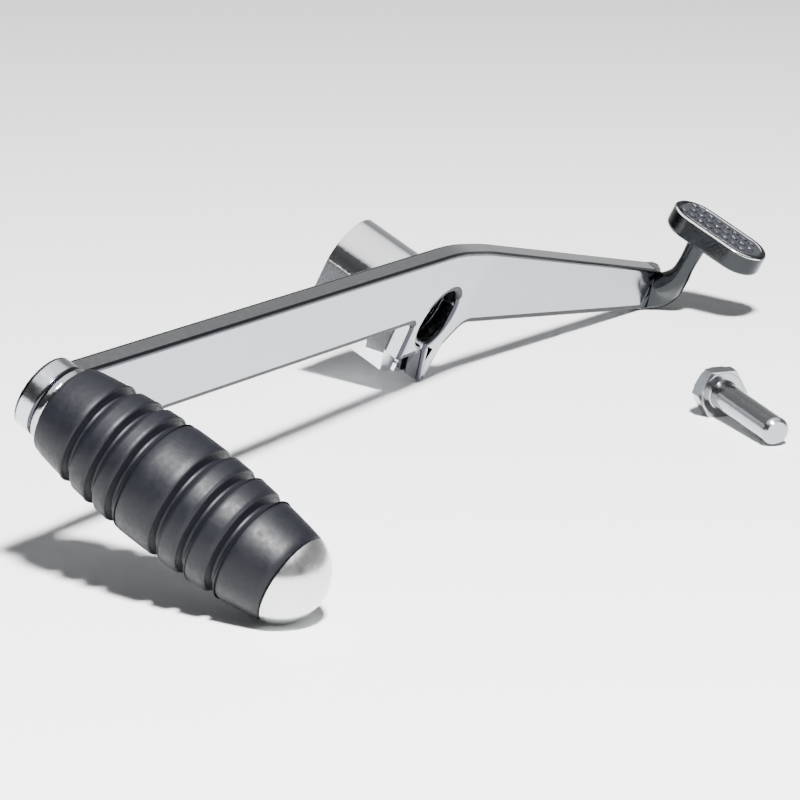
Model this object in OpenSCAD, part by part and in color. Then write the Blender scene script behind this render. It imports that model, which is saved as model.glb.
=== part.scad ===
// Heel-and-toe gear shift lever for a motorcycle, lying on a table.
// The lever is drawn with its bore axis along Y from the outboard face of the bar, toe end
// towards -X, then laid down. Origin: middle of the clamp bore. Millimetres, +Z up from the table.

/* [Part] */
// Which piece to draw

/* [Lever bar] */
// Thickness of the flat bar
bar_t = 4.2; // [3.6:0.1:5]
// Height of the front arm across its two edges
arm_h = 16.7; // [15:0.1:18]
// Sideways crank of the rear arm, towards the outboard side
heel_crank = 6; // [4:0.5:8]
// Radius of the rounded toe end
eye_r = 7.2; // [7:0.1:8.4]

/* [Clamp hub] */
// Outer radius of the barrel
hub_r = 9.1; // [8.8:0.1:10]
// Inboard end of the barrel, from the outboard face of the bar
hub_end = 25; // [22:0.5:30]
// Radius at the tips of the serrations
land_r = 6.1; // [5.9:0.05:6.2]
// Radius at the roots of the serrations
root_r = 6.6; // [6.5:0.05:6.7]
// Number of serrations
teeth = 28; // [20:2:32]
// Width of the clamp slot
slot_w = 2.2; // [1.6:0.1:2.6]
// Depth of the pinch bolt's axis below the bore's axis
pinch_drop = 10.4; // [10.2:0.1:10.8]

/* [Toe peg] */
// Bore axis to peg axis, along the bar
peg_x = 150; // [140:1:160]
// Height of the peg's axis above the bore's axis
peg_z = 17.2; // [16:0.2:18]
// Length of the rubber
rubber_len = 52; // [46:1:58]
// Radius of the rubber at its middle
rubber_mid_r = 11.1; // [10.6:0.1:12]
// Radius of the rubber at its ends
rubber_end_r = 8.7; // [8.4:0.1:9.4]
// Depth of the grooves
groove_d = 1.5; // [0.8:0.1:2]
// Width of the grooves
groove_w = 1.7; // [1:0.1:2]

/* [Heel pad] */
// Length of the pad across the bar
pad_len = 24.8; // [22:0.2:30]
// Width of the pad along the bar
pad_w = 12.8; // [11:0.2:15]
// Thickness of the pad
pad_t = 5.2; // [4.4:0.2:6]
// Radius of the post under the pad
post_r = 2.1; // [1.8:0.1:2.4]

/* [Pinch bolt] */
// Shank length under the head
bolt_len = 25; // [22:1:30]
// Width of the hexagon across flats
bolt_af = 10; // [9.8:0.1:10.2]

/* [Hidden] */
$fn = 96;
eps = 0.05;
// Keeps a rounding from ending exactly tangent to its straight edges
ease = 0.004;

// How the lever lies: leaning on its outboard side, and its pitch along the bar
lean = 26.72;
pitch = 0.19;
table_z = -22.845;

// Bar outline, as heights above the bore axis at a distance along the bar
top_front_z = 17.6;
top_front_slope = -0.0336;
top_rear_z = 17.1;
top_rear_slope = -0.205;
low_rear_z = -2.7;
low_rear_slope = -0.116;
crank_x = 12.5;
bar_end_x = 94;
hole_r = 6.9;
ear_tip_z = -18.2;
plan_bend_r = 60;
widest = 14;
past_toe = 20;

// Clamp ears
ear_left = -6.4;
ear_left_z = -14.6;
ear_wall_z = -9;
pinch_y = (bar_t + hub_end) / 2;
clearance_r = 3.3;
seat_r = 5.8;
tapped_r = 2.5;

// Toe peg
collar_t = 1.8;
rod_r = 4;
rod_head_r = 5.4;
rod_head_t = 0.7;
cap_len = 6.4;
cap_socket = 3;
rubber_y = -collar_t;
cap_y = rubber_y - rubber_len;
grooves = [8.9, 14.8, 19.8, 30, 35.8, 42];

// Heel pad
pad_x = 95.9;
pad_z = 9.3;
pad_inner_y = -4.2;
recess = 0.8;
rim = 1.3;
pad_step = 0.5;
tread_t = 0.8;
studs = 8;
stud_r = 0.95;
stud_h = 0.5;
stud_sunk = 0.2;
stud_rows = 2.9;
stud_start = 4.4;
stud_pitch = 2.35;
stud_shift = 1.1;

// The post that leads to the pad: its centres, and its half thickness, half height and
// squareness at each of them
post_path = [[94.1, -6.46, -7.9], [96.4, -7.4, -7.8], [97.2, -10.4, -6.4], [95.2, -13, -1.6],
             [94.2, -13.7, 3], [94.2, -13.8, pad_z - eps]];
post_size = [[2.1, 5.7, 6], [2.4, 5.6, 5], [2.8, 4.4, 3], [2.6, 2.7, 2], [post_r, post_r, 2],
             [post_r + 0.3, post_r + 0.3, 2]];
// Keeps the post's rings from twisting as it turns from the bar's way to outboard to upright
post_across = [1, 1, 0];
post_sides = 32;
post_rings = 36;

// Pinch bolt
head_h = 4;
head_sunk = 0.2;
shank_r = 2.95;
bolt_tip = [0.4, -92.14];
bolt_turn = 51.2;

lever_bar();
hub_clamp();
hub_weld();
toe_collar();
toe_rod();
toe_rubber();
toe_cap();
heel_post();
heel_pad();
heel_tread();
pinch_bolt();

// ---- helpers ----

function unit(v) = v / norm(v);
function cross2(a, b) = a[0] * b[1] - a[1] * b[0];
function top_z(x) = min(top_front_z + top_front_slope * x, top_rear_z + top_rear_slope * x);
function front_low_z(x) = top_front_z - arm_h + top_front_slope * x;
function rear_low_z(x) = low_rear_z + low_rear_slope * x;

function before(pts, i) = pts[(i + len(pts) - 1) % len(pts)];
function after(pts, i) = pts[(i + 1) % len(pts)];
function turn(pts, i) = cross2(pts[i] - before(pts, i), after(pts, i) - pts[i]);
function towards(pts, i) = unit(before(pts, i) - pts[i]);
function onwards(pts, i) = unit(after(pts, i) - pts[i]);
function half_angle(pts, i) = acos(towards(pts, i) * onwards(pts, i)) / 2;
function bisector(pts, i) = unit(towards(pts, i) + onwards(pts, i));
function round_centre(pts, i, r) = pts[i] + bisector(pts, i) * r / sin(half_angle(pts, i));
function round_start(pts, i, r) = pts[i] + towards(pts, i) * r / tan(half_angle(pts, i));
function round_end(pts, i, r) = pts[i] + onwards(pts, i) * r / tan(half_angle(pts, i));
function cut_corner(pts, i, r) = [round_start(pts, i, r), round_centre(pts, i, r), round_end(pts, i, r)];
function path_at(pts, i, r) = r > 0 && turn(pts, i) < 0 ? cut_corner(pts, i, r) : [pts[i]];

// A polygon, counter-clockwise, with each corner rounded by its own radius
module smooth_outline(pts, radii) {
  difference() {
    polygon([for (i = [0 : len(pts) - 1]) for (q = path_at(pts, i, radii[i])) q]);
    for (i = [0 : len(pts) - 1])
      if (radii[i] > 0) {
        if (turn(pts, i) < 0) {
          translate(round_centre(pts, i, radii[i])) circle(radii[i] + ease);
        } else {
          difference() {
            polygon([
              round_start(pts, i, radii[i]),
              pts[i] - bisector(pts, i) * 0.3,
              round_end(pts, i, radii[i]),
              round_centre(pts, i, radii[i])
            ]);
            translate(round_centre(pts, i, radii[i])) circle(radii[i] + ease);
          }
        }
      }
  }
}

// Lays the lever down on the table
module laid() {
  rotate([lean, 0, 0]) rotate([0, pitch, 0]) translate([0, -pinch_y, 0]) children();
}

// Turns a drawing in X and Z into a solid that runs along Y between y0 and y1
module side_slab(y0, y1) {
  translate([0, y1, 0]) rotate([90, 0, 0]) linear_extrude(y1 - y0) children();
}

// Turns a half profile (radius, distance) about the peg axis, distance counted outboard
module about_peg() {
  translate([-peg_x, 0, peg_z]) rotate([90, 0, 0]) rotate_extrude() children();
}

// ---- lever bar ----

module bar_outline() {
  toe_x = -peg_x;
  crest_x = (top_rear_z - top_front_z) / (top_front_slope - top_rear_slope);
  points = [
    [toe_x + 2, peg_z - eye_r + 0.8],
    [toe_x + 24, front_low_z(toe_x + 24)],
    [-10.8, front_low_z(-10.8)],
    [-10.0, -8.7],
    [-slot_w / 2, -8.7],
    [-slot_w / 2, 0],
    [slot_w / 2, 0],
    [slot_w / 2, -8.4],
    [6.2, ear_tip_z],
    [8.6, ear_tip_z + 0.3],
    [9.8, -9.2],
    [11.2, -6.2],
    [14.8, rear_low_z(14.8)],
    [bar_end_x, rear_low_z(bar_end_x)],
    [bar_end_x, top_z(bar_end_x)],
    [crest_x, top_z(crest_x)],
    [toe_x + 2, top_z(toe_x + 2)]
  ];
  radii = [0, 0, 2.6, 1, 0, 0, 0, 0, 0.8, 0.8, 0, 0, 0, 0, 0, 70, 0];
  difference() {
    union() {
      smooth_outline(points, radii);
      translate([toe_x, peg_z]) circle(eye_r);
    }
    circle(hole_r);
    translate([toe_x, peg_z]) circle(rod_r + eps);
  }
}

module bar_plan() {
  reach = 110;
  run = [cos(heel_crank), -sin(heel_crank)];
  off = [sin(heel_crank), cos(heel_crank)] * bar_t;
  knee = [crank_x + bar_t * tan(heel_crank / 2), bar_t];
  smooth_outline(
    [[-peg_x - past_toe, 0], [crank_x, 0], [crank_x, 0] + run * reach, [crank_x, 0] + run * reach + off,
     knee, [-peg_x - past_toe, bar_t]],
    [0, plan_bend_r + bar_t, 0, 0, plan_bend_r, 0]
  );
}

module lever_bar() {
  color([0.80, 0.81, 0.83]) laid() intersection() {
    side_slab(-widest, widest) bar_outline();
    translate([0, 0, -30]) linear_extrude(70) bar_plan();
  }
}

// ---- clamp hub ----

module serrated_bore() {
  mouth = 180 / teeth * 0.55;
  foot = 0.42;
  root = 0.12;
  circle(land_r);
  for (i = [0 : teeth - 1])
    rotate(90 + (i + 0.5) * 360 / teeth)
      polygon([
        [land_r * 0.9, -foot],
        [land_r * 0.9, foot],
        [land_r * cos(mouth), land_r * sin(mouth)],
        [root_r, root],
        [root_r, -root],
        [land_r * cos(mouth), -land_r * sin(mouth)]
      ]);
}

module ear_outline() {
  smooth_outline(
    [[-hub_r + ease, 0], [-hub_r + ease, ear_wall_z], [ear_left, ear_left_z], [6.2, ear_tip_z + 0.1],
     [9.2, ear_tip_z + 0.5], [10.6, -11], [hub_r, 0]],
    [0, 3, 1, 0.8, 0.8, 4, 0]
  );
}

module hub_clamp() {
  color([0.76, 0.77, 0.80]) laid() difference() {
    side_slab(bar_t, hub_end) {
      circle(hub_r);
      ear_outline();
    }
    side_slab(bar_t - 1, hub_end + 1) {
      serrated_bore();
      translate([-slot_w / 2, -25]) square([slot_w, 25]);
    }
    translate([0, pinch_y, -pinch_drop]) {
      rotate([0, -90, 0]) cylinder(h = 30, r = clearance_r);
      rotate([0, 90, 0]) cylinder(h = 30, r = tapped_r);
      translate([ear_left, 0, 0]) rotate([0, -90, 0]) cylinder(h = 30, r = seat_r);
    }
  }
}

module hub_weld() {
  bead = 1.6;
  color([0.66, 0.67, 0.70]) laid() difference() {
    translate([0, bar_t, 0]) rotate([-90, 0, 0]) rotate_extrude() difference() {
      translate([hub_r + eps, 0]) square([bead, bead]);
      translate([hub_r + eps + bead, bead]) circle(bead);
    }
    side_slab(bar_t - 1, hub_end + 1) {
      translate([-30, -30]) square([60, 30.4]);
    }
  }
}

// ---- toe peg ----

module toe_collar() {
  color([0.82, 0.83, 0.85]) laid() about_peg() difference() {
    smooth_outline(
      [[rod_r + eps, eps], [eye_r, eps], [eye_r, collar_t - eps], [rod_r + eps, collar_t - eps]],
      [0, 0.5, 0.8, 0]
    );
  }
}

module toe_rod() {
  tip = -cap_y + cap_socket;
  color([0.62, 0.63, 0.66]) laid() about_peg()
    smooth_outline([[0, -bar_t - rod_head_t], [rod_head_r, -bar_t - rod_head_t], [rod_head_r, -bar_t - eps],
                    [rod_r, -bar_t - eps], [rod_r, tip], [0, tip]],
                   [0, 0.5, 0, 0, 0.5, 0]);
}

module toe_rubber() {
  rise = rubber_mid_r - rubber_end_r;
  barrel = (pow(rubber_len / 2, 2) + rise * rise) / (2 * rise);
  color([0.10, 0.11, 0.13]) laid() about_peg() difference() {
    intersection() {
      translate([0, -rubber_y + eps]) square([rubber_mid_r + 1, rubber_len - 2 * eps]);
      translate([rubber_mid_r - barrel, -rubber_y + rubber_len / 2]) circle(barrel, $fn = 720);
    }
    translate([-1, -rubber_y - 1]) square([rod_r + eps + 1, rubber_len + 2]);
    for (g = grooves)
      translate([rubber_end_r + rise * (1 - pow(2 * g / rubber_len - 1, 2)) - groove_d,
                 -rubber_y + g - groove_w / 2])
        square([groove_d + 2, groove_w]);
  }
}

module toe_cap() {
  globe = (rubber_end_r * rubber_end_r + cap_len * cap_len) / (2 * cap_len);
  color([0.84, 0.85, 0.87]) laid() about_peg() difference() {
    intersection() {
      translate([0, -cap_y]) square([rubber_end_r, cap_len]);
      translate([0, -cap_y + cap_len - globe]) circle(globe, $fn = 240);
    }
    translate([-1, -cap_y - 1]) square([rod_r + eps + 1, cap_socket + eps + 1]);
  }
}

// ---- heel pad ----

function slope(list, i) =
  let (a = max(i - 1, 0), b = min(i + 1, len(list) - 1)) (list[b] - list[a]) / (b - a);

// A smooth run through a list of values, t counting from 0 in steps of one value
function flow(list, t) =
  let (i = min(floor(t), len(list) - 2), u = t - i)
    (2 * u * u * u - 3 * u * u + 1) * list[i] + (u * u * u - 2 * u * u + u) * slope(list, i)
    + (3 * u * u - 2 * u * u * u) * list[i + 1] + (u * u * u - u * u) * slope(list, i + 1);

function heading(t) =
  t == 0 ? [1, 0, 0] : unit(flow(post_path, min(t + 0.1, len(post_path) - 1)) - flow(post_path, t - 0.1));

// A ring of the post: an oval whose squareness is the power of its rounding
function post_ring(t) =
  let (
    size = flow(post_size, t),
    power = size[2],
    d = heading(t),
    side = unit(post_across - d * (d * post_across)),
    up = cross(d, side)
  )
    [for (i = [0 : post_sides - 1])
      let (a = 360 * i / post_sides, k = pow(pow(abs(cos(a)), power) + pow(abs(sin(a)), power), -1 / power))
        flow(post_path, t) + side * size[0] * k * cos(a) + up * size[1] * k * sin(a)];

module heel_post() {
  span = (len(post_path) - 1) / post_rings;
  last = post_rings * post_sides;
  first_centre = last + post_sides;
  points = concat([for (j = [0 : post_rings]) for (q = post_ring(j * span)) q],
                  [post_path[0], post_path[len(post_path) - 1]]);
  walls = [for (j = [0 : post_rings - 1]) for (i = [0 : post_sides - 1])
    let (a = j * post_sides + i, b = j * post_sides + (i + 1) % post_sides)
      for (f = [[a, b, a + post_sides], [b, b + post_sides, a + post_sides]]) f];
  ends = [for (i = [0 : post_sides - 1])
    let (k = (i + 1) % post_sides)
      for (f = [[k, i, first_centre], [last + i, last + k, first_centre + 1]]) f];
  color([0.78, 0.79, 0.82]) laid() polyhedron(points, concat(walls, ends), convexity = 4);
}

module pad_plan(inset) {
  r = pad_w / 2 - inset;
  y_in = pad_inner_y - pad_w / 2;
  y_out = pad_inner_y - pad_len + pad_w / 2;
  translate([pad_x, y_in]) circle(r);
  translate([pad_x, y_out]) circle(r);
  translate([pad_x - r, y_out]) square([2 * r, y_in - y_out]);
}

module heel_pad() {
  color([0.82, 0.83, 0.85]) laid() difference() {
    union() {
      translate([0, 0, pad_z]) linear_extrude(pad_step) pad_plan(pad_step);
      translate([0, 0, pad_z + pad_step]) linear_extrude(pad_t - 2 * pad_step) pad_plan(0);
      translate([0, 0, pad_z + pad_t - pad_step]) linear_extrude(pad_step) pad_plan(0.8 * pad_step);
    }
    translate([0, 0, pad_z + pad_t - recess]) linear_extrude(recess + 1) pad_plan(rim);
  }
}

module heel_tread() {
  base_z = pad_z + pad_t - recess + eps;
  color([0.16, 0.17, 0.19]) laid() {
    translate([0, 0, base_z]) linear_extrude(tread_t) pad_plan(rim + eps);
    for (row = [-1 : 1])
      for (i = [0 : studs - 1])
        translate([
          pad_x + row * stud_rows,
          pad_inner_y - stud_start - i * stud_pitch + abs(row) * stud_shift,
          base_z + tread_t - stud_sunk
        ])
          cylinder(h = stud_h + stud_sunk, r = stud_r, $fn = 24);
  }
}

// ---- pinch bolt ----

module pinch_bolt() {
  total = bolt_len + head_h;
  fall = asin((bolt_af / 2 - shank_r) / total);
  color([0.72, 0.73, 0.75])
    translate([bolt_tip[0], bolt_tip[1], table_z + shank_r * cos(fall)])
      rotate([0, 0, bolt_turn]) rotate([0, 90 - fall, 0]) {
        cylinder(h = bolt_len + head_sunk, r = shank_r);
        translate([0, 0, bolt_len]) rotate([0, 0, 30])
          cylinder(h = head_h, r = bolt_af / 2 / cos(30), $fn = 6);
      }
}
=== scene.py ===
"""Looks of a heel-and-toe gear shift lever lying on a pale table, with its pinch bolt beside it."""

import math

import bmesh
import bpy
import numpy as np
from mathutils import Matrix, Vector


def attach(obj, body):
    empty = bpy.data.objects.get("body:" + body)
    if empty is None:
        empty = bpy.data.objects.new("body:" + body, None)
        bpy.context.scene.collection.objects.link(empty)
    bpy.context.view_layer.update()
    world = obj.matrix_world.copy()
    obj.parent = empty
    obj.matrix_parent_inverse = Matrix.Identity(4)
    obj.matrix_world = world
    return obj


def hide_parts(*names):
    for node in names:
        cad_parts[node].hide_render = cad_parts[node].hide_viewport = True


MM = 0.001

# How the lever lies on the table, and the table's height (degrees, mm)
LEAN = math.radians(26.72)
PITCH = math.radians(0.19)
BORE_MID = 14.6
TABLE_Z = -22.845

# Flat bar (mm, in the lever's own frame: bore axis along Y, toe towards -X, outboard -Y)
BAR_T = 4.2
ARM_H = 16.7
TOP_FRONT = (17.6, -0.0336)
TOP_REAR = (17.1, -0.205)
LOW_REAR = (-2.7, -0.116)
CRANK_X = 12.5
CRANK = math.radians(6)
BEND_R = 60
BAR_END = 94
HOLE_R = 6.9
EAR_TIP = -18.2
CREST_R = 70
SLOT_W = 2.2
EDGE_R = 0.75
# width of the band along the lower edges that is painted near-black as a dark reflection line
PAINTED_BAND_W = 0.7

# Hub: faces nearer the axis than this belong to the bore, faces further out towards the toe to the wall
BORE_LIMIT = 6.75
WALL_LIMIT = 8.2

# Toe peg
PEG_X = -150
PEG_Z = 17.2
EYE_R = 7.2
COLLAR_T = 1.8
ROD_R = 4.0
RUBBER_LEN = 52
RUBBER_MID_R = 11.1
RUBBER_END_R = 8.7
GROOVES = (8.9, 14.8, 19.8, 30, 35.8, 42)
GROOVE_W = 1.7
GROOVE_D = 1.5
GROOVE_LIP = 0.55
# bottom of a groove: height above its depth, distance from its middle
GROOVE_FLOOR = ((0, -0.25), (0.12, -0.374), (0, 0), (0.12, 0.374), (0.5, 0.75))
CAP_LEN = 6.4
# clearance between neighbouring pieces on the peg
GAP = 0.05

# Heel pad and post
PAD_X = 95.9
PAD_Z = 9.3
PAD_T = 5.2
PAD_W = 12.8
PAD_LEN = 24.8
PAD_INNER_Y = -4.2
PAD_RIM = 1.15
TREAD_Z = PAD_Z + PAD_T - 0.75
STUDS = 8
STUD_ROWS = 2.9
STUD_START = 4.4
STUD_PITCH = 2.35
STUD_SHIFT = 1.1
# a stud's outline: radius, height above the tread's plate bottom
STUD = ((0.95, 0.5), (0.92, 1.0), (0.75, 1.18), (0.4, 1.26), (0.02, 1.28))
POST_RINGS = 90
# keeps the post's rings from twisting round its bends
POST_ACROSS = (1.0, 1.0, 0)
POST_PATH = (
    (94.0, -6.46, -7.885),
    (96.4, -7.4, -7.8),
    (97.2, -10.4, -6.4),
    (95.2, -13, -1.6),
    (94.2, -13.7, 3),
    (94.2, -13.8, PAD_Z + 0.1),
)
# half thickness, half height and corner radius of the post at each point of its path
POST_SIZE = (
    (2.11, 5.715, 0.75),
    (2.4, 5.6, 1.2),
    (2.8, 4.4, 2.4),
    (2.6, 2.7, 2.6),
    (2.1, 2.1, 2.1),
    (2.4, 2.4, 2.4),
)

# Pinch bolt
BOLT_LEN = 25
BOLT_AF = 10
HEAD_H = 4
SHANK_R = 2.95
BOLT_TIP = (0.4, -92.14)
BOLT_TURN = math.radians(51.2)

# Light: an even room, a dome seen only in reflections (height 0 to 1, brightness), and one softbox
ROOM_LIGHT = 0.14
DOME_LIGHT = 2.2
DOME_TOE = ((0.0, 0.05), (0.3, 0.035), (0.62, 0.05), (0.74, 0.85), (1.0, 1.0))
DOME_HEEL = ((0.0, 0.42), (0.3, 0.2), (0.62, 0.16), (0.78, 0.8), (1.0, 1.0))
DOME_R = 4.5
SOFTBOX_AT = (-0.52, -0.42, 0.85)
SOFTBOX_SIZE = 0.12
SOFTBOX_POWER = 72

# Floor (m) and how far it lies below the table's height, so that nothing touches it exactly (mm)
FLOOR_HALF = 6.0
FLOOR_DROP = 0.15

# Camera: place in metres, then its right, up and backward directions
CAMERA_AT = (-0.649285, -0.375656, 0.169830)
CAMERA_TURN = ((0.49961, -0.86615, 0.01333), (0.21241, 0.13741, 0.96747), (-0.8398, -0.48053, 0.25263))
CAMERA_LENS = 162


# ---- geometry helpers ----

LAY = Matrix.Rotation(LEAN, 3, "X") @ Matrix.Rotation(PITCH, 3, "Y")
UNLAY = LAY.inverted()


def laid(p):
    """A point of the lever's frame in mm, as a point of the row frame in metres."""
    return LAY @ (Vector(p) - Vector((0, BORE_MID, 0))) * MM


def make(name, verts, faces, sharp=35):
    """A mesh object from row-frame points in metres, smooth except at edges above the sharp angle."""
    mesh = bpy.data.meshes.new(name)
    mesh.from_pydata([tuple(v) for v in verts], [], faces)
    bm = bmesh.new()
    bm.from_mesh(mesh)
    bmesh.ops.recalc_face_normals(bm, faces=bm.faces)
    bm.to_mesh(mesh)
    bm.free()
    mesh.shade_smooth()
    mesh.set_sharp_from_angle(angle=math.radians(sharp))
    obj = bpy.data.objects.new(name, mesh)
    bpy.context.scene.collection.objects.link(obj)
    return obj


def loft(name, loops, place, close=False, sharp=35):
    """A skin over rings with equal point counts, capped at both ends unless it closes on itself."""
    n = len(loops[0])
    verts = [place(p) for ring in loops for p in ring]
    faces = []
    count = len(loops)
    for j in range(count if close else count - 1):
        k = (j + 1) % count
        for i in range(n):
            m = (i + 1) % n
            faces.append((j * n + i, j * n + m, k * n + m, k * n + i))
    if not close:
        faces.append(tuple(range(n)))
        faces.append(tuple(range((count - 1) * n, count * n)))
    return make(name, verts, faces, sharp)


def lathe(name, profile, place, close=False, steps=160, sharp=35):
    """A body of revolution. profile holds (radius, distance); place gives the axis, distances along it."""
    loops = []
    for r, d in profile:
        ring = [2 * math.pi * i / steps for i in range(steps)]
        loops.append([(r * math.cos(a), r * math.sin(a), d) for a in ring])
    return loft(name, loops, place, close, sharp)


def about_peg(p):
    """Axis along the toe peg, distance counted outboard from the bar's outboard face."""
    return laid((PEG_X + p[0], -p[2], PEG_Z + p[1]))


def arc(cx, cy, r, a0, a1, n):
    """Points of an arc in degrees, both ends included."""
    angles = [math.radians(a0 + (a1 - a0) * i / n) for i in range(n + 1)]
    return [(cx + r * math.cos(a), cy + r * math.sin(a)) for a in angles]


def rounded(points, radii, step=6):
    """A closed outline with an arc of its own radius at every corner, in pieces of about step degrees."""
    out = []
    n = len(points)
    for i, r in enumerate(radii):
        p = np.array(points[i], float)
        if r <= 0:
            out.append(tuple(p))
            continue
        back = np.array(points[i - 1], float) - p
        ahead = np.array(points[(i + 1) % n], float) - p
        back, ahead = back / np.linalg.norm(back), ahead / np.linalg.norm(ahead)
        half = math.acos(float(np.clip(back @ ahead, -1, 1))) / 2
        mid = (back + ahead) / np.linalg.norm(back + ahead)
        centre = p + mid * r / math.sin(half)
        start = p + back * r / math.tan(half) - centre
        end = p + ahead * r / math.tan(half) - centre
        a0 = math.atan2(start[1], start[0])
        sweep = (math.atan2(end[1], end[0]) - a0 + math.pi) % (2 * math.pi) - math.pi
        pieces = max(3, int(abs(math.degrees(sweep)) / step))
        for k in range(pieces + 1):
            a = a0 + sweep * k / pieces
            out.append((centre[0] + r * math.cos(a), centre[1] + r * math.sin(a)))
    return out


def inset(loop, d):
    """The closed loop moved inwards by d, counter-clockwise loops shrinking, clockwise ones growing."""
    pts = np.array(loop, float)
    ahead = np.roll(pts, -1, axis=0) - pts
    ahead /= np.linalg.norm(ahead, axis=1)[:, None]
    normal = np.stack([-ahead[:, 1], ahead[:, 0]], axis=1)
    before = np.roll(normal, 1, axis=0)
    mid = normal + before
    mid /= (1 + (normal * before).sum(axis=1))[:, None]
    return [tuple(p) for p in pts + mid * d]


def line(spec, x):
    """Height of a sloping edge at x, from its height at the bore and its slope."""
    return spec[0] + spec[1] * x


def flow(values, t):
    """A smooth run through a list of points, t counting from 0 in steps of one point."""
    values = np.array(values, float)
    slopes = np.gradient(values, axis=0)
    i = min(int(t), len(values) - 2)
    u = t - i
    near = (2 * u**3 - 3 * u**2 + 1) * values[i] + (u**3 - 2 * u**2 + u) * slopes[i]
    far = (3 * u**2 - 2 * u**3) * values[i + 1] + (u**3 - u**2) * slopes[i + 1]
    return near + far


# ---- the flat bar ----


def bar_top(x):
    """Height of the bar's upper edge, whose two straight runs meet at the crest."""
    return min(line(TOP_FRONT, x), line(TOP_REAR, x))


def arm_low(x):
    """Height of the front arm's lower edge."""
    return line(TOP_FRONT, x) - ARM_H


def bar_outline():
    """The bar's outline in X and Z, counter-clockwise. The clamp slot joins the bore's opening to it."""
    crest = (TOP_REAR[0] - TOP_FRONT[0]) / (TOP_FRONT[1] - TOP_REAR[1])
    half_slot = SLOT_W / 2
    slot = math.degrees(math.asin(half_slot / HOLE_R))
    opening = arc(0, 0, HOLE_R, 270 - slot, -90 + slot, 120)
    eye = arc(PEG_X, PEG_Z, EYE_R, 47.5, 292, 70)
    corners = [
        (PEG_X + 17, arm_low(PEG_X + 17), 6),
        (-10.8, arm_low(-10.8), 2.6),
        (-10.0, -8.7, 1),
        (-half_slot, -8.7, 0.4),
        *[(x, z, 0) for x, z in opening],
        (half_slot, -8.4, 0.5),
        (6.2, EAR_TIP, 0.7),
        (8.6, EAR_TIP + 0.3, 0.8),
        (9.8, -9.2, 3),
        (14.8, line(LOW_REAR, 14.8), 4.4),
        (BAR_END, line(LOW_REAR, BAR_END), 0),
        (BAR_END, bar_top(BAR_END), 0),
        (crest, bar_top(crest), CREST_R),
        *[(x, z, 0) for x, z in eye],
    ]
    return rounded([c[:2] for c in corners], [c[2] for c in corners])


def bend(p):
    """Cranks the rear arm outboard about a smooth bend; straight ahead of it the bar is flat."""
    x, y, z = p
    length = BEND_R * CRANK
    start = CRANK_X - length / 2
    s = x - start
    if s <= 0:
        return (x, y, z)
    a = min(s, length) / BEND_R
    radius = BEND_R + y
    along = max(s - length, 0)
    bx = start + radius * math.sin(a) + along * math.cos(a)
    by = -BEND_R + radius * math.cos(a) - along * math.sin(a)
    return (bx, by, z)


def dress_bar_faces(bm, outline, rings):
    """Materials by face: 0 flats, 1 edges all round, painted lighter as a grey reflection, 2 their
    roundings, painted near-black as a dark reflection, 3 a band along the lower edges, painted near-black
    as a dark reflection line.
    """
    for face in bm.faces:
        tilt = abs(face.normal.y)
        face.material_index = 0 if tilt > 0.999 else 1 if tilt < 0.001 else 2
    n = len(outline)
    for i in range(n):
        j = (i + 1) % n
        if outline[j][0] - outline[i][0] <= abs(outline[j][1] - outline[i][1]) * 0.6:
            continue
        for low, high in zip(rings, rings[1:]):
            for face in low[i].link_faces:
                if high[i] in face.verts and high[j] in face.verts:
                    face.material_index = 3


def build_bar():
    """The plate with rounded edges, cut across where it bends, bent and laid down."""
    outline = bar_outline()
    steps = [math.radians(a) for a in (0, 18, 36, 54, 72, 90)]
    layers = [(EDGE_R * (1 - math.sin(a)), EDGE_R * (1 - math.cos(a))) for a in steps]
    # the first ring marks off the band painted as a dark reflection line on the outboard face
    layers = [(EDGE_R + PAINTED_BAND_W, 0)] + layers + [(d, BAR_T - y) for d, y in layers[::-1]]
    bm = bmesh.new()
    rings = []
    for d, y in layers:
        # the cut end stays square, because the post goes on from it
        ring = [(BAR_END if x0 == BAR_END else x, z) for (x, z), (x0, _) in zip(inset(outline, d), outline)]
        rings.append([bm.verts.new((x, y, z)) for x, z in ring])
    n = len(outline)
    for a, b in zip(rings, rings[1:]):
        for i in range(n):
            bm.faces.new((a[i], a[(i + 1) % n], b[(i + 1) % n], b[i]))
    for ring in (rings[0], rings[-1]):
        rim = [bm.edges.get((ring[i], ring[(i + 1) % n])) for i in range(n)]
        bmesh.ops.triangle_fill(bm, use_beauty=True, edges=rim)
    bmesh.ops.recalc_face_normals(bm, faces=bm.faces)
    dress_bar_faces(bm, outline, rings[: len(steps) + 1])
    length = BEND_R * CRANK
    cuts = 8
    for k in range(cuts + 1):
        x = CRANK_X - length / 2 + length * k / cuts
        geom = list(bm.verts) + list(bm.edges) + list(bm.faces)
        bmesh.ops.bisect_plane(bm, geom=geom, plane_co=(x, 0, 0), plane_no=(1, 0, 0), dist=1e-5)
    for v in bm.verts:
        v.co = laid(bend(v.co))
    mesh = bpy.data.meshes.new("bar")
    bm.to_mesh(mesh)
    bm.free()
    mesh.shade_smooth()
    mesh.set_sharp_from_angle(angle=math.radians(32))
    obj = bpy.data.objects.new("bar", mesh)
    bpy.context.scene.collection.objects.link(obj)
    return obj


# ---- toe peg ----


def rubber_radius(d):
    """Radius of the barrel-shaped sleeve at a distance along it."""
    t = 2 * d / RUBBER_LEN - 1
    return RUBBER_END_R + (RUBBER_MID_R - RUBBER_END_R) * (1 - t * t)


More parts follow.
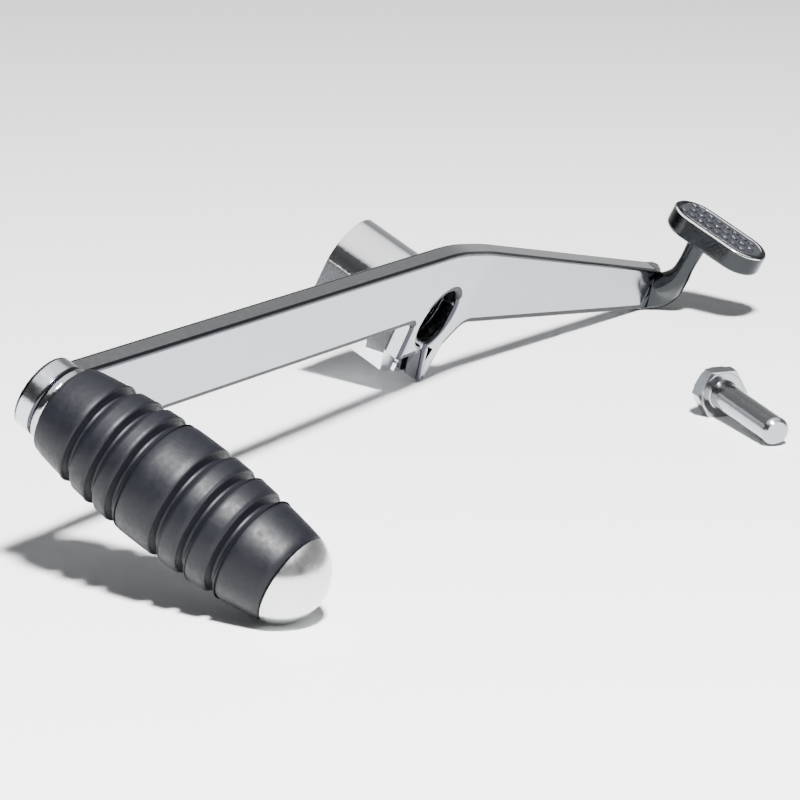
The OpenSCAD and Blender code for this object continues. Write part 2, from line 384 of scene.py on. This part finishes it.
def rubber_profile():
    """The sleeve's section: barrel shape, rounded ends, and grooves with soft lips and round bottoms."""
    first_r, last_r = 0.7, 0.6
    lip = GROOVE_LIP
    profile = [(ROD_R + GAP, GAP), (RUBBER_END_R - first_r, GAP)]
    profile += arc(RUBBER_END_R - first_r, GAP + first_r, first_r, -90, 0, 6)[1:]

    def land(end, pieces):
        start = profile[-1][1]
        for k in range(1, pieces + 1):
            d = start + (end - start) * k / pieces
            profile.append((rubber_radius(d), d))

    for g in GROOVES:
        lo, hi = g - GROOVE_W / 2, g + GROOVE_W / 2
        r = rubber_radius(g)
        land(lo - lip, 6)
        profile += arc(r - lip, lo - lip, lip, 80, 8, 5)
        profile += [(r - GROOVE_D + rise, g + off) for rise, off in GROOVE_FLOOR]
        profile += arc(r - lip, hi + lip, lip, -8, -80, 5)
    end = RUBBER_LEN - GAP - last_r
    land(end, 8)
    profile += arc(RUBBER_END_R - last_r, end, last_r, 0, 90, 6)[1:]
    profile.append((ROD_R + GAP, RUBBER_LEN - GAP))
    return profile


def build_rubber():
    """The grooved rubber sleeve of the toe peg."""
    profile = [(r, d + COLLAR_T) for r, d in rubber_profile()]
    return lathe("rubber_sleeve", profile, about_peg, close=True, sharp=50)


def build_cap():
    """A domed end cap: part of a globe, its edge eased where it meets the rubber."""
    base = COLLAR_T + RUBBER_LEN
    ease = 0.3
    steps = 39
    profile = [(ROD_R + 0.1, base + 0.02), (RUBBER_END_R - 0.35, base + 0.02)]
    globe = (RUBBER_END_R**2 + CAP_LEN**2) / (2 * CAP_LEN)
    for k in range(steps + 1):
        d = ease + (CAP_LEN - ease) * (1 - (1 - k / steps) ** 2)
        r = math.sqrt(max(globe**2 - (globe - CAP_LEN + d) ** 2, 0))
        profile.append((max(r, 0.01), base + d))
    return lathe("end_cap", profile, about_peg, sharp=50)


def build_collar():
    """The ring between the bar's eye and the rubber."""
    inner, outer = ROD_R + GAP, EYE_R + 0.2
    bar_side_r, rubber_side_r = 0.4, 0.8
    profile = [(inner, GAP), (outer - bar_side_r, GAP)]
    profile += arc(outer - bar_side_r, GAP + bar_side_r, bar_side_r, -90, 0, 4)[1:]
    profile += arc(outer - rubber_side_r, COLLAR_T - GAP - rubber_side_r, rubber_side_r, 0, 90, 6)
    profile.append((inner, COLLAR_T - GAP))
    return lathe("collar_ring", profile, about_peg, close=True)


# ---- heel pad and post ----


def slab(a, b, r, n=16):
    """A rectangle of half sizes a and b with corners rounded by r, counter-clockwise."""
    r = min(r, a, b)
    out = []
    for k, (sx, sy) in enumerate(((1, 1), (-1, 1), (-1, -1), (1, -1))):
        out += arc(sx * (a - r), sy * (b - r), r, 90 * k, 90 * k + 90, n)
    return out


def build_post():
    """The bar's end sweeps outboard and up into a round post under the pad."""
    last = len(POST_PATH) - 1
    across = np.array(POST_ACROSS)
    loops = []
    for j in range(POST_RINGS + 1):
        t = last * j / POST_RINGS
        d = flow(POST_PATH, min(t + 0.1, last)) - flow(POST_PATH, max(t - 0.1, 0))
        if j == 0:
            d = np.array([1.0, 0, 0])
        d /= np.linalg.norm(d)
        side = across - d * (d @ across)
        side /= np.linalg.norm(side)
        up = np.cross(d, side)
        centre = flow(POST_PATH, t)
        loops.append([centre + side * p + up * q for p, q in slab(*flow(POST_SIZE, t))])
    post = loft("post", loops, laid, sharp=60)
    # the plate's top edge, painted grey as a reflection, runs on to the foot of the neck
    foot = BAR_END + 3.5
    for p in post.data.polygons:
        p.material_index = 1 if (UNLAY @ p.normal).z > 0.6 and (UNLAY @ p.center).x < foot * MM else 0
    return post


def stadium(r, n=28):
    """Outline of the pad's plan at end radius r, counter-clockwise seen from above."""
    y_in = PAD_INNER_Y - PAD_W / 2
    y_out = PAD_INNER_Y - PAD_LEN + PAD_W / 2
    return arc(PAD_X, y_in, r, 0, 180, n) + arc(PAD_X, y_out, r, 180, 360, n)


def build_pad():
    """A shallow tray with rounded edges and a rolled rim."""
    r = PAD_W / 2
    floor = PAD_T - 0.8
    low_r, high_r, inner_r = 1.1, 0.6, 0.35
    profile = [(r - low_r, 0)]
    profile += arc(r - low_r, low_r, low_r, -90, 0, 6)[1:]
    profile += arc(r - high_r, PAD_T - high_r, high_r, 0, 90, 6)
    profile += arc(r - PAD_RIM, PAD_T - inner_r, inner_r, 90, 180, 4)
    profile += [(r - PAD_RIM - 0.36, floor), (r - PAD_RIM - 1.2, floor)]
    loops = [[(x, y, PAD_Z + z) for x, y in stadium(q)] for q, z in profile]
    tray = loft("tray", loops, laid)
    # painted highlight: the rim's upper edge on the toe side gets a bright chrome
    rim_low = laid((PAD_X, PAD_INNER_Y, PAD_Z + PAD_T - 0.62))
    up = LAY @ Vector((0, 0, 1))
    for p in tray.data.polygons:
        bright = (p.center - rim_low).dot(up) > 0 and p.normal.dot(up) > 0.15 and p.normal.x < -0.25
        p.material_index = 1 if bright else 0
    return tray


def build_tread():
    """A dark studded insert: a thin plate with low round studs in three rows."""
    r = PAD_W / 2 - PAD_RIM - 0.21
    profile = ((r, 0), (r, 0.45), (r - 0.25, 0.7))
    plate = [[(x, y, TREAD_Z + z) for x, y in stadium(q)] for q, z in profile]
    obj = loft("insert", plate, laid)
    verts = [tuple(v.co) for v in obj.data.vertices]
    faces = [tuple(p.vertices) for p in obj.data.polygons]
    n = 16
    for row in (-1, 0, 1):
        for i in range(STUDS):
            cx = PAD_X + row * STUD_ROWS
            cy = PAD_INNER_Y - STUD_START - i * STUD_PITCH + abs(row) * STUD_SHIFT
            first = len(verts)
            for q, z in STUD:
                for k in range(n):
                    a = 2 * math.pi * k / n
                    verts.append(tuple(laid((cx + q * math.cos(a), cy + q * math.sin(a), TREAD_Z + z))))
            for j in range(len(STUD) - 1):
                for k in range(n):
                    m = (k + 1) % n
                    lo, hi = first + j * n, first + (j + 1) * n
                    faces.append((lo + k, lo + m, hi + m, hi + k))
            faces.append(tuple(first + (len(STUD) - 1) * n + k for k in range(n)))
            faces.append(tuple(first + k for k in range(n))[::-1])
    bpy.data.objects.remove(obj)
    return make("insert", verts, faces)


# ---- pinch bolt ----


def build_bolt():
    """A hexagon bolt lying on the table on its head's flat and its tip."""
    total = BOLT_LEN + HEAD_H
    fall = math.asin((BOLT_AF / 2 - SHANK_R) / total)
    turn = Matrix.Rotation(BOLT_TURN, 3, "Z") @ Matrix.Rotation(math.pi / 2 - fall, 3, "Y")
    origin = Vector((BOLT_TIP[0], BOLT_TIP[1], TABLE_Z + SHANK_R * math.cos(fall)))

    def place(p):
        return (turn @ Vector(p) + origin) * MM

    flat = BOLT_AF / 2
    corner = flat / math.cos(math.pi / 6)
    n = 180
    # chamfered tip, plain shank, and a fillet under the head
    shank = [(SHANK_R - 0.9, 0.0), (SHANK_R - 0.75, 0.03)]
    shank += [(SHANK_R - 0.12, 0.62), (SHANK_R, 0.85)]
    shank += [(SHANK_R, d) for d in np.linspace(1.2, BOLT_LEN - 0.5, 12)]
    shank += [(SHANK_R + 0.12, BOLT_LEN - 0.15), (SHANK_R + 0.35, BOLT_LEN)]
    # washer face, hexagon, and its corners chamfered towards a flat top
    head = [(flat * 0.93, BOLT_LEN), (flat * 0.95, BOLT_LEN + 0.12), (corner, BOLT_LEN + 0.14)]
    head += [(corner, total - 0.75), (flat + 0.15, total - 0.2)]
    head += [(flat * share, total) for share in (0.95, 0.6, 0.3)]
    loops = []
    for limit, d in shank + head:
        ring = []
        for i in range(n):
            a = 2 * math.pi * i / n
            # the hexagon's flats face straight up and down
            off = (a + math.pi / 6) % (math.pi / 3) - math.pi / 6
            r = min(limit, flat / math.cos(off))
            ring.append((r * math.cos(a), r * math.sin(a), d))
        loops.append(ring)
    return loft("bolt", loops, place, sharp=28)


# ---- materials ----


def material(name, base, metallic, rough, spread, bump, scale, specular=0.5, tint=0.12):
    """A procedural surface: noise moves colour and roughness, and a fine bump breaks up reflections."""
    mat = bpy.data.materials.new(name)
    mat.use_nodes = True
    tree = mat.node_tree
    nodes, links = tree.nodes, tree.links
    shader = nodes["Principled BSDF"]
    shader.inputs["Metallic"].default_value = metallic
    shader.inputs["Specular IOR Level"].default_value = specular
    where = nodes.new("ShaderNodeTexCoord")
    broad = nodes.new("ShaderNodeTexNoise")
    broad.inputs["Scale"].default_value = scale
    broad.inputs["Detail"].default_value = 4
    fine = nodes.new("ShaderNodeTexNoise")
    fine.inputs["Scale"].default_value = scale * 14
    fine.inputs["Detail"].default_value = 6
    links.new(where.outputs["Object"], broad.inputs["Vector"])
    links.new(where.outputs["Object"], fine.inputs["Vector"])
    colour = nodes.new("ShaderNodeMixRGB")
    colour.inputs["Color1"].default_value = (*base, 1)
    colour.inputs["Color2"].default_value = (*[c * (1 - tint) for c in base], 1)
    links.new(broad.outputs["Fac"], colour.inputs["Fac"])
    links.new(colour.outputs["Color"], shader.inputs["Base Color"])
    wear = nodes.new("ShaderNodeMapRange")
    wear.inputs["From Min"].default_value = 0.3
    wear.inputs["From Max"].default_value = 0.7
    wear.inputs["To Min"].default_value = max(rough - spread, 0.01)
    wear.inputs["To Max"].default_value = rough + spread
    links.new(fine.outputs["Fac"], wear.inputs["Value"])
    links.new(wear.outputs["Result"], shader.inputs["Roughness"])
    relief = nodes.new("ShaderNodeBump")
    relief.inputs["Strength"].default_value = bump
    relief.inputs["Distance"].default_value = 0.0003
    links.new(fine.outputs["Fac"], relief.inputs["Height"])
    links.new(relief.outputs["Normal"], shader.inputs["Normal"])
    return mat


def dress(obj, mats, body="lever", node=None):
    """Gives a piece its materials and body, and has it stand for a CAD node."""
    keep = [p.material_index for p in obj.data.polygons]
    obj.data.materials.clear()
    for mat in mats:
        obj.data.materials.append(mat)
    obj.data.polygons.foreach_set("material_index", [min(k, len(mats) - 1) for k in keep])
    flats = obj.modifiers.new("flats", "WEIGHTED_NORMAL")
    flats.keep_sharp = True
    flats.weight = 100
    if node:
        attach(obj, body)
        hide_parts(node)
    return obj


def soften(obj, width, segments=3, angle=30):
    """Rounds the sharp edges of a CAD node and keeps its flats flat."""
    mod = obj.modifiers.new("edges", "BEVEL")
    mod.width = width * MM
    mod.segments = segments
    mod.limit_method = "ANGLE"
    mod.angle_limit = math.radians(angle)
    mod.harden_normals = True
    return obj


def mark_hub(obj):
    """Material 1 for the bore's faces, painted near-black as shade in the bore, and 2 for the flat wall
    towards the toe, painted darker as its dark reflection.
    """
    for p in obj.data.polygons:
        x, y, z = UNLAY @ p.center / MM
        normal = UNLAY @ p.normal
        bore = math.hypot(x, z) < BORE_LIMIT and abs(normal.y) < 0.5
        wall = x < -WALL_LIMIT and z < 1 and normal.x < -0.9
        p.material_index = 1 if bore else 2 if wall else 0


# ---- stage ----


def build_softbox():
    """The one lamp, up on the toe and outboard side, that throws the shadows."""
    data = bpy.data.lights.new("overhead", "AREA")
    data.shape = "RECTANGLE"
    data.size = SOFTBOX_SIZE
    data.size_y = SOFTBOX_SIZE
    data.energy = SOFTBOX_POWER
    lamp = bpy.data.objects.new("overhead", data)
    bpy.context.scene.collection.objects.link(lamp)
    target = Vector((0, 0, -0.02))
    lamp.location = SOFTBOX_AT
    lamp.rotation_euler = (target - Vector(SOFTBOX_AT)).to_track_quat("-Z", "Y").to_euler()


def floor_material():
    """Pale, slightly uneven tabletop."""
    mat = bpy.data.materials.new("table")
    mat.use_nodes = True
    tree = mat.node_tree
    shader = tree.nodes["Principled BSDF"]
    shader.inputs["Roughness"].default_value = 0.62
    shader.inputs["Specular IOR Level"].default_value = 0.25
    where = tree.nodes.new("ShaderNodeTexCoord")
    noise = tree.nodes.new("ShaderNodeTexNoise")
    noise.inputs["Scale"].default_value = 3
    noise.inputs["Detail"].default_value = 3
    mix = tree.nodes.new("ShaderNodeMixRGB")
    mix.inputs["Color1"].default_value = (0.80, 0.795, 0.81, 1)
    mix.inputs["Color2"].default_value = (0.77, 0.785, 0.785, 1)
    tree.links.new(where.outputs["Object"], noise.inputs["Vector"])
    tree.links.new(noise.outputs["Fac"], mix.inputs["Fac"])
    tree.links.new(mix.outputs["Color"], shader.inputs["Base Color"])
    return mat


def build_stage():
    """The tabletop."""
    mesh = bpy.data.meshes.new("floor")
    s = FLOOR_HALF
    mesh.from_pydata([(-s, -s, 0), (s, -s, 0), (s, s, 0), (-s, s, 0)], [], [(0, 1, 2, 3)])
    floor = bpy.data.objects.new("floor", mesh)
    bpy.context.scene.collection.objects.link(floor)
    floor.location.z = (TABLE_Z - FLOOR_DROP) * MM
    mesh.materials.append(floor_material())


def build_world():
    """A dim even room. What the metal mirrors comes from the dome below, which only reflections see."""
    world = bpy.data.worlds.new("surroundings")
    bpy.context.scene.world = world
    world.use_nodes = True
    sky = world.node_tree.nodes["Background"]
    sky.inputs["Color"].default_value = (0.93, 0.96, 1.0, 1)
    sky.inputs["Strength"].default_value = ROOM_LIGHT


def build_dome():
    """A studio dome for reflections: bright overhead, grey behind the heel end, dark behind the toe end."""
    bm = bmesh.new()
    bmesh.ops.create_uvsphere(bm, u_segments=48, v_segments=32, radius=DOME_R)
    mesh = bpy.data.meshes.new("dome")
    bm.to_mesh(mesh)
    bm.free()
    dome = bpy.data.objects.new("dome", mesh)
    bpy.context.scene.collection.objects.link(dome)
    mat = bpy.data.materials.new("dome")
    mat.use_nodes = True
    tree = mat.node_tree
    tree.nodes.clear()
    where = tree.nodes.new("ShaderNodeTexCoord")
    unit = tree.nodes.new("ShaderNodeVectorMath")
    unit.operation = "NORMALIZE"
    tree.links.new(where.outputs["Object"], unit.inputs[0])
    split = tree.nodes.new("ShaderNodeSeparateXYZ")
    tree.links.new(unit.outputs["Vector"], split.inputs["Vector"])
    ramps = []
    for stops in (DOME_TOE, DOME_HEEL):
        ramp = tree.nodes.new("ShaderNodeValToRGB")
        band = ramp.color_ramp
        while len(band.elements) < len(stops):
            band.elements.new(0.5)
        for element, (at, value) in zip(band.elements, stops):
            element.position = at
            element.color = (value, value, value, 1)
        tree.links.new(split.outputs["Z"], ramp.inputs["Fac"])
        ramps.append(ramp)
    side = tree.nodes.new("ShaderNodeMapRange")
    side.inputs["From Min"].default_value = -0.25
    side.inputs["From Max"].default_value = 0.25
    tree.links.new(split.outputs["X"], side.inputs["Value"])
    mix = tree.nodes.new("ShaderNodeMixRGB")
    tree.links.new(side.outputs["Result"], mix.inputs["Fac"])
    tree.links.new(ramps[0].outputs["Color"], mix.inputs["Color1"])
    tree.links.new(ramps[1].outputs["Color"], mix.inputs["Color2"])
    glow = tree.nodes.new("ShaderNodeEmission")
    glow.inputs["Strength"].default_value = DOME_LIGHT
    tree.links.new(mix.outputs["Color"], glow.inputs["Color"])
    out = tree.nodes.new("ShaderNodeOutputMaterial")
    tree.links.new(glow.outputs["Emission"], out.inputs["Surface"])
    mesh.materials.append(mat)
    dome.visible_camera = False
    dome.visible_diffuse = False
    dome.visible_shadow = False
    dome.visible_transmission = False


def build_camera():
    """Looks along the lever from the toe end, outboard side, a little above it."""
    data = bpy.data.cameras.new("camera")
    data.sensor_width = 36
    data.lens = CAMERA_LENS
    data.clip_start, data.clip_end = 0.05, 50
    camera = bpy.data.objects.new("camera", data)
    bpy.context.scene.collection.objects.link(camera)
    turn = Matrix(CAMERA_TURN).transposed()
    camera.matrix_world = Matrix.Translation(Vector(CAMERA_AT)) @ turn.to_4x4()
    bpy.context.scene.camera = camera


# ---- the scene ----

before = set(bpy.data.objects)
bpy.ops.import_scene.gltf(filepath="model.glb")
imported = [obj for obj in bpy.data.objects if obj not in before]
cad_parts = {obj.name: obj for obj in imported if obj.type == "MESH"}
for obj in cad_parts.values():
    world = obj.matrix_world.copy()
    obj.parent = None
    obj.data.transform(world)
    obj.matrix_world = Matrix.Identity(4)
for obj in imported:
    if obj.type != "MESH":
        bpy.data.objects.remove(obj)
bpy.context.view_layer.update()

# base colour, metal or not, roughness, its spread, strength of the bump, fineness of the grain
chrome = material("chrome", (0.30, 0.31, 0.335), 1, 0.10, 0.03, 0.05, 60, tint=0.06)
# painted reflection: a lighter copy of the chrome for the bar's edge faces and the neck's top, standing in
# for their grey reflection
painted_reflection_side = material("painted_reflection_side", (0.52, 0.53, 0.55), 1, 0.16, 0.05, 0.10, 60, tint=0.15)
# painted dark reflection: a near-black copy of the chrome on the bar's edge roundings
painted_dark_rounding = material("painted_dark_rounding", (0.05, 0.053, 0.062), 1, 0.22, 0.05, 0.10, 60, tint=0.2)
# painted dark reflection line: near-black, unmetallic paint on a band along the bar's lower edges
painted_dark_band = material("painted_dark_band", (0.02, 0.021, 0.024), 0, 0.4, 0.05, 0.10, 60, specular=0.06, tint=0.2)
hub_chrome = material("hub_chrome", (0.78, 0.79, 0.82), 1, 0.09, 0.03, 0.06, 70, tint=0.08)
# painted dark reflection: a darker copy of the hub chrome on its flat wall towards the toe
hub_wall_painted_dark = material("hub_wall_painted_dark", (0.12, 0.123, 0.13), 1, 0.30, 0.10, 0.30, 130, tint=0.7)
# painted shade: near-black inside the bore
bore_painted_shade = material("bore_painted_shade", (0.03, 0.031, 0.034), 1, 0.35, 0.08, 0.20, 90, tint=0.3)
# painted highlight: bright chrome on the pad rim's upper edge on the toe side
rim_painted_highlight = material("rim_painted_highlight", (0.80, 0.81, 0.83), 1, 0.13, 0.04, 0.08, 70, tint=0.08)
cap_chrome = material("cap_chrome", (0.60, 0.61, 0.60), 1, 0.24, 0.04, 0.08, 70, tint=0.08)
eye_chrome = material("eye_chrome", (0.50, 0.51, 0.54), 1, 0.12, 0.05, 0.20, 110, tint=0.35)
# painted dark reflection: a near-black copy of the chrome for the heel post and pad
pad_chrome_painted_dark = material("pad_chrome_painted_dark", (0.04, 0.043, 0.045), 1, 0.16, 0.05, 0.10, 90, tint=0.35)
steel = material("steel", (0.60, 0.61, 0.64), 1, 0.28, 0.06, 0.15, 80, tint=0.2)
rubber = material("rubber", (0.0022, 0.0027, 0.005), 0, 0.5, 0.06, 0.12, 70, specular=0.22, tint=0.35)
tread = material("tread", (0.022, 0.024, 0.03), 0, 0.30, 0.12, 0.6, 170, specular=0.5, tint=0.6)
zinc = material("zinc", (0.36, 0.37, 0.38), 1, 0.16, 0.05, 0.12, 80, tint=0.15)

dress(build_bar(), [chrome, painted_reflection_side, painted_dark_rounding, painted_dark_band], node="lever_bar")
dress(build_rubber(), [rubber], node="toe_rubber")
dress(build_cap(), [cap_chrome], node="toe_cap")
dress(build_collar(), [eye_chrome], node="toe_collar")
dress(build_post(), [pad_chrome_painted_dark, painted_reflection_side], node="heel_post")
dress(build_pad(), [pad_chrome_painted_dark, rim_painted_highlight], node="heel_pad")
dress(build_tread(), [tread], node="heel_tread")
dress(build_bolt(), [zinc], body="bolt", node="pinch_bolt")
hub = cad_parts["hub_clamp"]
mark_hub(hub)
dress(soften(hub, 0.35), [hub_chrome, bore_painted_shade, hub_wall_painted_dark])
dress(soften(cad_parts["hub_weld"], 0.1, 2), [hub_chrome])
dress(soften(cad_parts["toe_rod"], 0.3), [steel])

build_stage()
build_world()
build_dome()
build_camera()
build_softbox()
